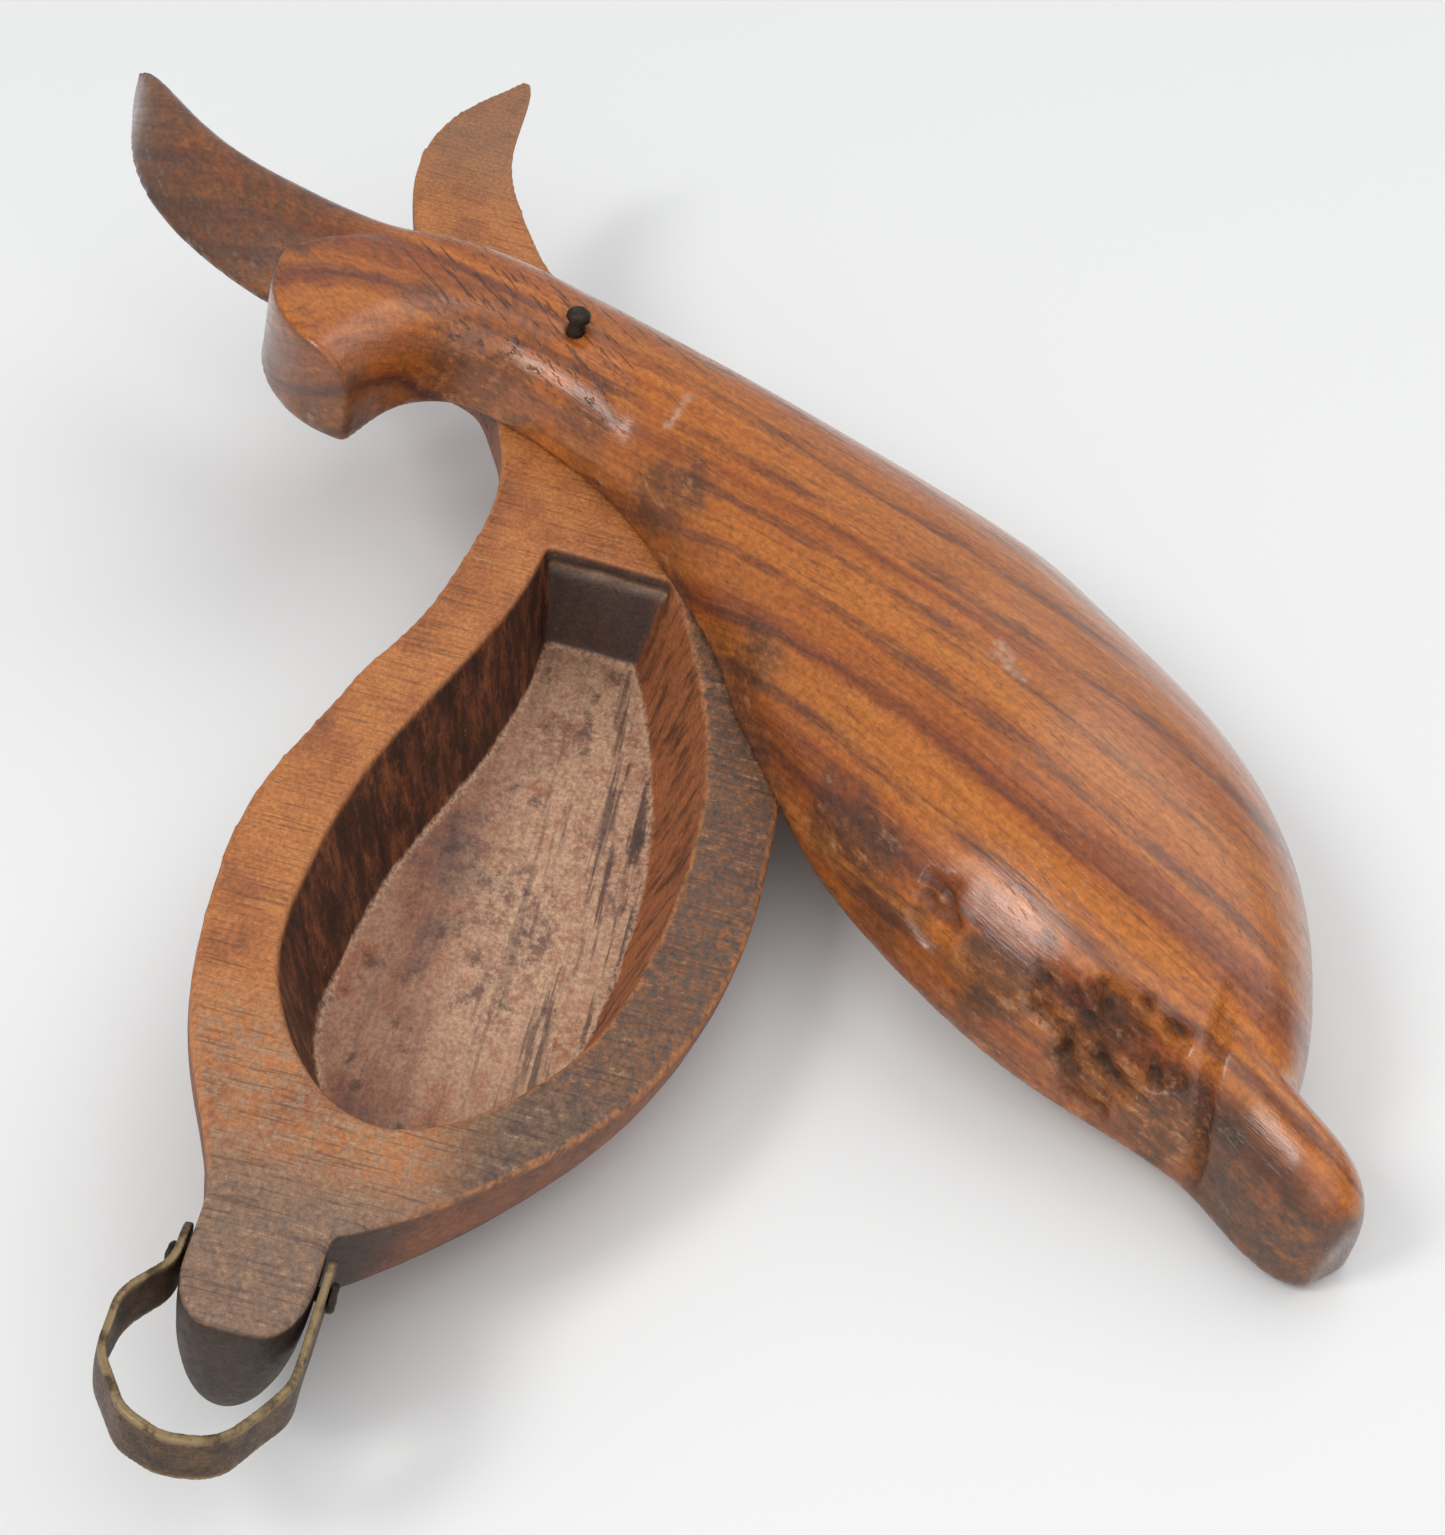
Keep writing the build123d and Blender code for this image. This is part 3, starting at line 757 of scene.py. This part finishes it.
def bowlWood():
    look = bowlWoodLook
    wood = Nodes("wornBowlWood")
    own = wood.ownFrame(bowlPlace)
    x, y, z = wood.split(own)
    fibres = wood.pattern(own, **look["fibres"])
    blotch = wood.pattern(own, **look["blotch"])
    speckle = wood.pattern(own, **look["speckle"])
    flecks = wood.pattern(own, **look["flecks"])
    fileMarks = wood.pattern(own, **look["fileMarks"])
    # Flat rim: red-brown on the left, nearly black on the right, greyish towards the nose
    rim = wood.ramp(blotch, look["rim"])
    frontShare = wood.times(wood.span(y, *look["frontAt"]), wood.span(speckle, *look["frontSpeckleAt"]))
    rim = wood.mix(frontShare, rim, look["frontRim"])
    darkSide = wood.math("MULTIPLY_ADD", wood.span(y, *look["rightShiftAt"]), look["rightShift"], x)
    darkShare = wood.times(wood.span(darkSide, *look["rightAt"]), wood.span(speckle, *look["rightSpeckleAt"]))
    rim = wood.mix(darkShare, rim, look["rightRim"])
    noseShare = wood.times(wood.span(y, *look["noseTopAt"]), wood.span(speckle, *look["noseSpeckleAt"]))
    rim = wood.mix(noseShare, rim, look["noseTop"])
    rim = wood.mix(wood.span(fileMarks, *look["fileDarkAt"]), rim, look["fibreDark"])
    pale = wood.times(wood.span(fileMarks, *look["scratchAt"]), wood.span(speckle, *look["scratchSpeckleAt"]))
    rim = wood.mix(wood.times(pale, look["scratchShare"]), rim, look["scratch"])
    # Painted shade darkening the horn towards its end
    rim = wood.mix(wood.span(y, *look["hornAt"]), rim, look["horn"])
    # Sides and underside, with a painted shadow darkening the nose end
    hull = wood.ramp(blotch, look["hull"])
    hull = wood.mix(wood.span(fibres, *look["hullFibreAt"]), hull, look["fibreDark"])
    hull = wood.mix(wood.span(y, *look["noseEndShadowAt"]), hull, look["noseEndShadow"])
    colour = wood.mix(wood.span(z, *look["topAt"]), hull, rim)
    wornShare = wood.times(wood.painted("edge"), wood.span(speckle, *look["wornSpeckleAt"]))
    wornShare = wood.times(wornShare, wood.span(y, *look["wornAt"]))
    colour = wood.mix(wornShare, colour, look["worn"])
    # Hollow: dark walls, almost black at the square end, and a dusty floor
    strokes = wood.pattern(own, **look["strokes"])
    walls = wood.ramp(strokes, look["wall"])
    rightShare = wood.times(wood.span(x, *look["rightWallAt"]), wood.span(strokes, *look["rightStrokesAt"]))
    walls = wood.mix(rightShare, walls, look["rightWall"])
    walls = wood.mix(wood.times(wood.painted("squareEnd"), look["endShare"]), walls, look["endWall"])
    walls = wood.mix(wood.times(wood.painted("ledge"), look["ledgeShare"]), walls, look["dust"])
    walls = wood.mix(wood.span(speckle, *look["wallDustAt"]), walls, look["dust"])
    colour = wood.mix(wood.painted("wall"), colour, walls)
    ground = wood.ramp(blotch, look["floor"])
    dusty = wood.times(wood.span(x, *look["dustAt"]), wood.span(speckle, *look["dustSpeckleAt"]))
    dusty = wood.times(dusty, wood.span(y, *look["dustFrontAt"]))
    ground = wood.mix(dusty, ground, look["dust"])
    grooves = wood.pattern(own, **look["grooves"])
    grooveShare = wood.times(wood.span(grooves, *look["grooveAt"]), wood.span(x, *look["grooveSideAt"]))
    ground = wood.mix(grooveShare, ground, look["blot"])
    stains = wood.pattern(own, **look["stains"])
    ground = wood.mix(wood.span(stains, *look["stainAt"]), ground, look["blot"])
    colour = wood.mix(wood.painted("floor"), colour, ground)
    dustLine = wood.times(wood.painted("floorEdge"), wood.span(flecks, *look["floorEdgeAt"]))
    colour = wood.mix(dustLine, colour, look["dust"])
    mottle = wood.span(flecks, *look["mottleAt"])
    colour = wood.mix(1.0, colour, wood.gather(mottle, mottle, mottle), "MULTIPLY")
    wood.join(colour, wood.shader.inputs["Base Color"])
    wood.join(wood.span(speckle, *look["roughAt"]), wood.shader.inputs["Roughness"])
    relief = wood.bump(fibres, *look["fibreRelief"])
    relief = wood.bump(speckle, *look["speckleRelief"], relief)
    relief = wood.bump(fileMarks, *look["fileRelief"], relief)
    wood.join(relief, wood.shader.inputs["Normal"])
    return wood.material


bowlPiece.data.materials.append(bowlWood())

finishPiece(lidPiece, lidPlace, "lid", "lid")
finishPiece(bowlPiece, bowlPlace, "base", "bowl")
print("wood finished")


# Strap, nail and tacks
strapLook = dict(
    voxel=0.2,
    soften=3,
    tackLine=(-141.5, -3.6),
    hang=math.radians(2.0),
    halfWidth=3.2,
    edgeFrom=(0.72, 0.97),
    sway=0.3,
    swaySize=(7, 7, 7),
    swaySeeds=(2.1, 5.7, 9.3),
    swayFrom=(3.0, 9.0),
    dark=(0.040, 0.024, 0.014),
    rust=(0.130, 0.068, 0.030),
    # Yellowish rims: worn metal and a painted highlight
    worn=(0.330, 0.235, 0.120),
    roughAt=(0.3, 0.7, 0.40, 0.62),
)
ironLook = dict(
    voxel=0.14,
    soften=2,
    dent=0.12,
    dentSize=(0.9, 0.9, 0.9),
    dentSeed=4.2,
    dentMiddle=0.5,
    nailClear=(13.0, 15.0),
    leftClear=(8.3, 9.0),
    rightClear=(6.7, 7.4),
    dark=(0.016, 0.013, 0.011),
    rust=(0.062, 0.040, 0.026),
    roughAt=(0.3, 0.7, 0.45, 0.67),
)
metalLook = dict(
    patches=dict(scale=(0.45, 0.45, 0.45), detail=5.0, roughness=0.68),
    grit=dict(scale=(2.5, 2.5, 2.5), detail=4.0, roughness=0.7),
    rustAt=(0.36, 0.62),
    gritAt=(0.52, 0.68, 0.0, 0.6),
    wornAt=(0.36, 0.58, 0.15, 0.9),
    metallic=0.55,
    patchRelief=(0.15, 0.6),
    gritRelief=(0.06, 0.6),
)


def agedMetal(name, look):
    metal = Nodes(name)
    own = metal.ownFrame(bowlPlace)
    patches = metal.pattern(own, **metalLook["patches"])
    grit = metal.pattern(own, **metalLook["grit"])
    darkAt, rustAt = metalLook["rustAt"]
    colour = metal.ramp(patches, [(darkAt, look["dark"]), (rustAt, look["rust"])])
    colour = metal.mix(metal.span(grit, *metalLook["gritAt"]), colour, look["dark"])
    # Yellowish rims of the strip: worn metal and a painted highlight along its edges
    if "worn" in look:
        share = metal.times(metal.painted("edge"), metal.span(patches, *metalLook["wornAt"]))
        colour = metal.mix(share, colour, look["worn"])
    metal.join(colour, metal.shader.inputs["Base Color"])
    metal.shader.inputs["Metallic"].default_value = metalLook["metallic"]
    metal.join(metal.span(grit, *look["roughAt"]), metal.shader.inputs["Roughness"])
    relief = metal.bump(patches, *metalLook["patchRelief"])
    relief = metal.bump(grit, *metalLook["gritRelief"], relief)
    metal.join(relief, metal.shader.inputs["Normal"])
    return metal.material


def bendStrap():
    look = strapLook
    strap = evenSkin("strap", "bentStrap", bowlPlace, look)
    start = readPoints(strap)
    tackY, tackZ = look["tackLine"]
    middle = tackZ + math.tan(look["hang"]) * (start[:, 1] - tackY)
    # The strip's rims, where the worn and highlighted colour goes
    paint(strap, "edge", fade(*look["edgeFrom"], np.abs(start[:, 2] - middle) / look["halfWidth"]))
    # Bent by hand: the strip sways a little, both faces together
    away = fade(*look["swayFrom"], tackY - start[:, 1])
    points = start.copy()
    for axis, seed in enumerate(look["swaySeeds"]):
        points[:, axis] += swell(start, (look["swaySize"], seed, look["sway"])) * away
    writePoints(strap, points)
    return strap


def forgeIron(node, name, clear, axis, side):
    # Dents only where the iron stands clear of the wood, past a range along one axis
    look = ironLook
    iron = evenSkin(node, name, bowlPlace, look)
    points = readPoints(iron)
    slack = fade(*clear, side * points[:, axis])
    dent = (waves(points, look["dentSize"], look["dentSeed"]) - look["dentMiddle"]) * look["dent"] * slack
    writePoints(iron, points + readNormals(iron) * dent[:, None])
    return iron


strapPiece = bendStrap()
strapPiece.data.materials.append(agedMetal("rustedStrap", strapLook))
finishPiece(strapPiece, bowlPlace, "strap", "strap")
blackIron = agedMetal("blackIron", ironLook)
nailPiece = forgeIron("pivot_nail", "forgedNail", ironLook["nailClear"], 2, 1.0)
leftTack = forgeIron("tack_left", "forgedTackLeft", ironLook["leftClear"], 0, -1.0)
rightTack = forgeIron("tack_right", "forgedTackRight", ironLook["rightClear"], 0, 1.0)
for iron, node, slot in ((nailPiece, "pivot_nail", "nail_iron"), (leftTack, "tack_left", "tack_iron"),
                         (rightTack, "tack_right", "tack_iron")):
    iron.data.materials.append(blackIron)
    finishPiece(iron, bowlPlace, "base", node)
print("metal finished")

# Floor, light and camera
stageLook = dict(
    floorSize=6.0,
    floorColour=(0.88, 0.88, 0.87, 1.0),
    worldColour=(0.95, 0.97, 1.0, 1.0),
    worldStrength=0.40,
    floorRoughness=0.6,
    lamps=[
        dict(name="sideLamp", place=(-0.67, -0.49, 0.90), size=(0.32, 0.42), power=4.6),
        dict(name="frontLamp", place=(0.15, -1.0, 0.95), size=(1.6, 1.6), power=9.0),
        dict(name="backLamp", place=(0.55, 0.60, 0.95), size=(1.2, 1.2), power=5.5),
    ],
)


def makeFloor():
    bpy.ops.object.select_all(action="DESELECT")
    bpy.ops.mesh.primitive_plane_add(size=stageLook["floorSize"], location=(0, 0, 0))
    floor = bpy.context.active_object
    floor.name = "paleFloor"
    pale = Nodes("paleFloor")
    pale.shader.inputs["Base Color"].default_value = stageLook["floorColour"]
    pale.shader.inputs["Roughness"].default_value = stageLook["floorRoughness"]
    floor.data.materials.append(pale.material)


def makeLamp(name, place, size, power):
    # A soft lamp turned towards the object's middle
    lamp = bpy.data.lights.new(name, "AREA")
    lamp.shape = "RECTANGLE"
    lamp.size, lamp.size_y = size
    lamp.energy = power
    holder = bpy.data.objects.new(name, lamp)
    bpy.context.scene.collection.objects.link(holder)
    holder.location = place
    holder.rotation_euler = (-Vector(place)).to_track_quat("-Z", "Y").to_euler()


def makeWorld():
    world = bpy.data.worlds.new("softRoom")
    bpy.context.scene.world = world
    world.use_nodes = True
    background = world.node_tree.nodes["Background"]
    background.inputs["Color"].default_value = stageLook["worldColour"]
    background.inputs["Strength"].default_value = stageLook["worldStrength"]


cameraLook = dict(
    place=(45.03, -250.69, 219.11),
    aim=(11.677, -2.030, 0.0),
    roll=1.063,
    focalPixels=2680.7,
    pictureHeight=1535,
    sensor=36.0,
    clip=(0.01, 50.0),
)


def makeCamera():
    data = bpy.data.cameras.new("photoCamera")
    data.sensor_width = cameraLook["sensor"]
    data.lens = cameraLook["focalPixels"] / cameraLook["pictureHeight"] * data.sensor_width
    data.clip_start, data.clip_end = cameraLook["clip"]
    camera = bpy.data.objects.new("photoCamera", data)
    bpy.context.scene.collection.objects.link(camera)
    place = Vector(cameraLook["place"]) * mm
    sight = Vector(cameraLook["aim"]) * mm - place
    roll = Matrix.Rotation(math.radians(cameraLook["roll"]), 3, "Z")
    turn = sight.to_track_quat("-Z", "Y").to_matrix() @ roll
    camera.location = place
    camera.rotation_euler = turn.to_euler()
    bpy.context.scene.camera = camera


makeFloor()
makeWorld()
for lampSettings in stageLook["lamps"]:
    makeLamp(**lampSettings)
makeCamera()
bpy.context.scene.view_settings.view_transform = "Standard"
print("stage ready")
